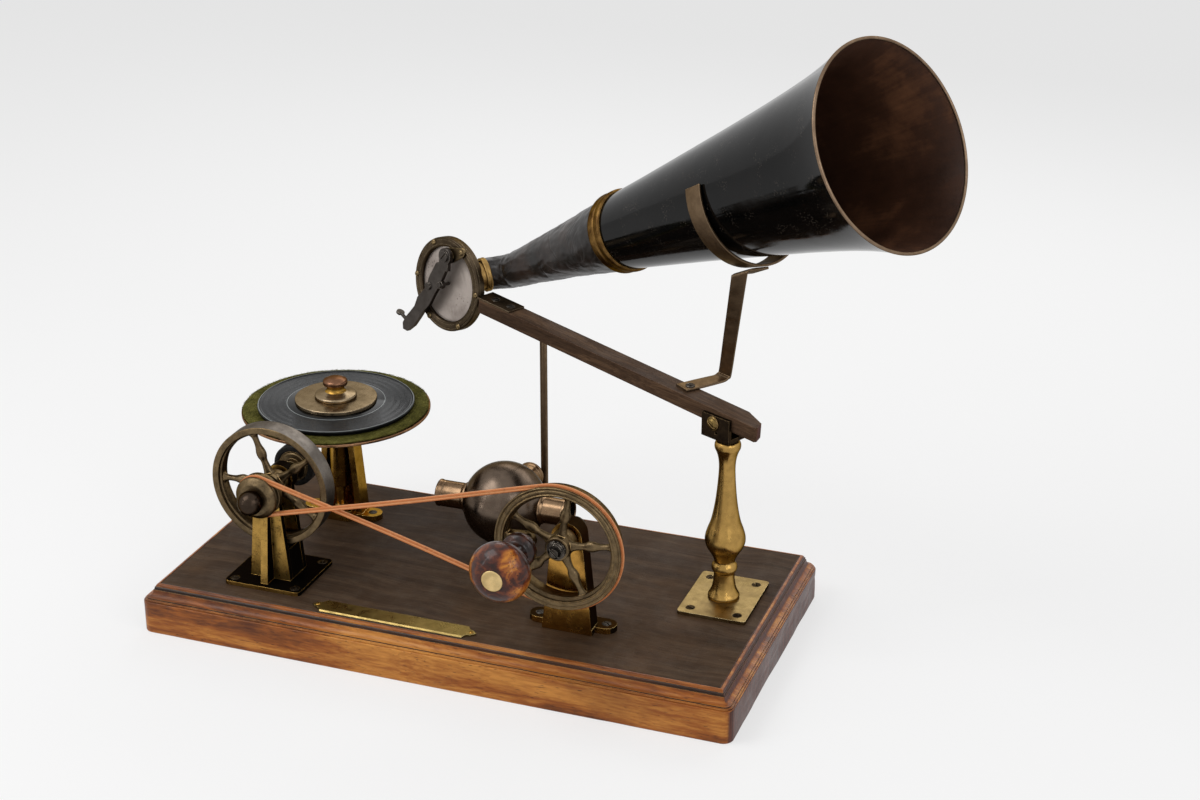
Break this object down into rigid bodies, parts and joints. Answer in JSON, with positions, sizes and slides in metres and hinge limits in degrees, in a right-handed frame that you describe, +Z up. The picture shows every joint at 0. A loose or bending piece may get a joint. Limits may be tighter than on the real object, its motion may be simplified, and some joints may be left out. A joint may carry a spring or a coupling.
{
  "type": "horn gramophone",
  "caption": "Hand-cranked disc gramophone on a moulded wooden board, with a belt-driven flywheel, a felted turntable and a lacquered horn carried on a swivelling arm.",
  "frame": {"origin": "centre of the board in plan, on its underside", "axes": "+X to the right along the board, +Y to the back, +Z up; the handle is at the front (-Y) and the horn opens to the right (+X)"},
  "size_m": [0.5933, 0.3337, 0.4884],
  "materials": {
    "figured_wood": "satin",
    "stained_wood": "satin",
    "knob_wood": "polished",
    "brass": "polished",
    "pale_brass": "satin",
    "copper_brass": "satin",
    "old_bronze": "satin",
    "brown_bronze": "satin",
    "gunmetal": "satin",
    "black_iron": "satin",
    "dark_steel": "satin",
    "belt_leather": "satin",
    "tyre_rubber": "matte",
    "black_rubber": "matte",
    "green_felt": "matte",
    "record_black": "semi-gloss",
    "diaphragm_grey": "satin",
    "neck_lacquer": "satin",
    "horn_lacquer": "gloss"
  },
  "bodies": {
    "base": {"plinth": "figured_wood", "top_board": "stained_wood", "nameplate": "brass", "nameplate_pins": "brass", "pillar_plate": "pale_brass", "pillar_column": "brass", "pillar_screws": "dark_steel", "flywheel_stand": "black_iron", "flywheel_stand_screws": "dark_steel", "flywheel_bushes": "brass", "crank_stand": "brass", "crank_bush": "brass", "turntable_stand": "brass", "ear_screws": "dark_steel", "spindle_post": "brass", "sounding_ball": "gunmetal", "ball_tubes": "brown_bronze", "ball_foot": "gunmetal", "rest_rod": "brown_bronze", "drive_belt": "belt_leather"},
    "crank": {"drive_wheel": "old_bronze", "crank_shaft": "dark_steel", "crank_collar": "dark_steel", "hub_screw": "black_iron", "handle_pin": "dark_steel"},
    "handle": {"handle_knob": "knob_wood", "knob_cap": "pale_brass"},
    "flywheel": {"flywheel": "old_bronze", "flywheel_shaft": "dark_steel", "small_pulley": "old_bronze", "ball_nut": "gunmetal", "friction_hub": "old_bronze", "friction_tyre": "tyre_rubber"},
    "turntable": {"platter_hub": "brass", "platter": "copper_brass", "felt_mat": "green_felt", "record_disc": "record_black"},
    "clamp": {"clamp_disc": "pale_brass", "clamp_knob": "pale_brass"},
    "fork": {"swivel_fork": "black_iron", "pivot_bolt": "dark_steel"},
    "arm": {"arm_bar": "stained_wood", "arm_plate": "brown_bronze", "arm_screws": "dark_steel", "sound_box_ring": "brown_bronze", "sound_box_case": "brown_bronze", "diaphragm": "diaphragm_grey", "gaskets": "black_rubber", "sound_box_screws": "brown_bronze", "stylus_bracket": "brown_bronze", "horn_elbow": "brass", "horn_neck": "neck_lacquer", "horn_ring": "brass", "horn_bell": "horn_lacquer", "horn_rim": "brass", "horn_cradle": "brown_bronze", "horn_strut": "brown_bronze"},
    "stylus": {"stylus_bar": "dark_steel"},
    "needle_clamp": {"needle_screw": "dark_steel"}
  },
  "joints": [
    {"name": "crank_spin", "type": "hinge", "parent": "base", "child": "crank", "pos_m": [0.0965, -0.08, 0.1172], "axis": [0, 1, 0], "continuous": true},
    {"name": "handle_spin", "type": "hinge", "parent": "crank", "child": "handle", "pos_m": [0.071, -0.12, 0.1172], "axis": [0, 1, 0], "continuous": true},
    {"name": "flywheel_spin", "type": "hinge", "parent": "base", "child": "flywheel", "pos_m": [-0.1485, -0.06, 0.1172], "axis": [0, 1, 0], "continuous": true},
    {"name": "turntable_spin", "type": "hinge", "parent": "base", "child": "turntable", "pos_m": [-0.1485, 0.048, 0.1], "axis": [0, 0, 1], "continuous": true},
    {"name": "clamp_turn", "type": "hinge", "parent": "turntable", "child": "clamp", "pos_m": [-0.1485, 0.048, 0.15], "axis": [0, 0, 1], "continuous": true},
    {"name": "arm_swivel", "type": "hinge", "parent": "base", "child": "fork", "pos_m": [0.1915, 0.018, 0.17], "axis": [0, 0, 1], "range_deg": [-100, 30]},
    {"name": "arm_tilt", "type": "hinge", "parent": "fork", "child": "arm", "pos_m": [0.18753, 0.01989, 0.189], "axis": [0.4305, 0.9026, 0], "range_deg": [0, 18]},
    {"name": "stylus_rock", "type": "hinge", "parent": "arm", "child": "stylus", "pos_m": [-0.08918, 0.14009, 0.24247], "axis": [0.7452, -0.4207, -0.5174], "range_deg": [-0.5, 0.5], "stiffness_Nm_per_rad": 0.6},
    {"name": "needle_screw_turn", "type": "hinge", "parent": "stylus", "child": "needle_clamp", "pos_m": [-0.13065, 0.15141, 0.1755], "axis": [-0.7974, 0.4334, 0.4199], "range_deg": [-180, 180]}
  ],
  "couplings": [
    {"joint": "flywheel_spin", "follows": "crank_spin", "ratio": -3.0823},
    {"joint": "turntable_spin", "follows": "crank_spin", "ratio": -0.72776}
  ]
}
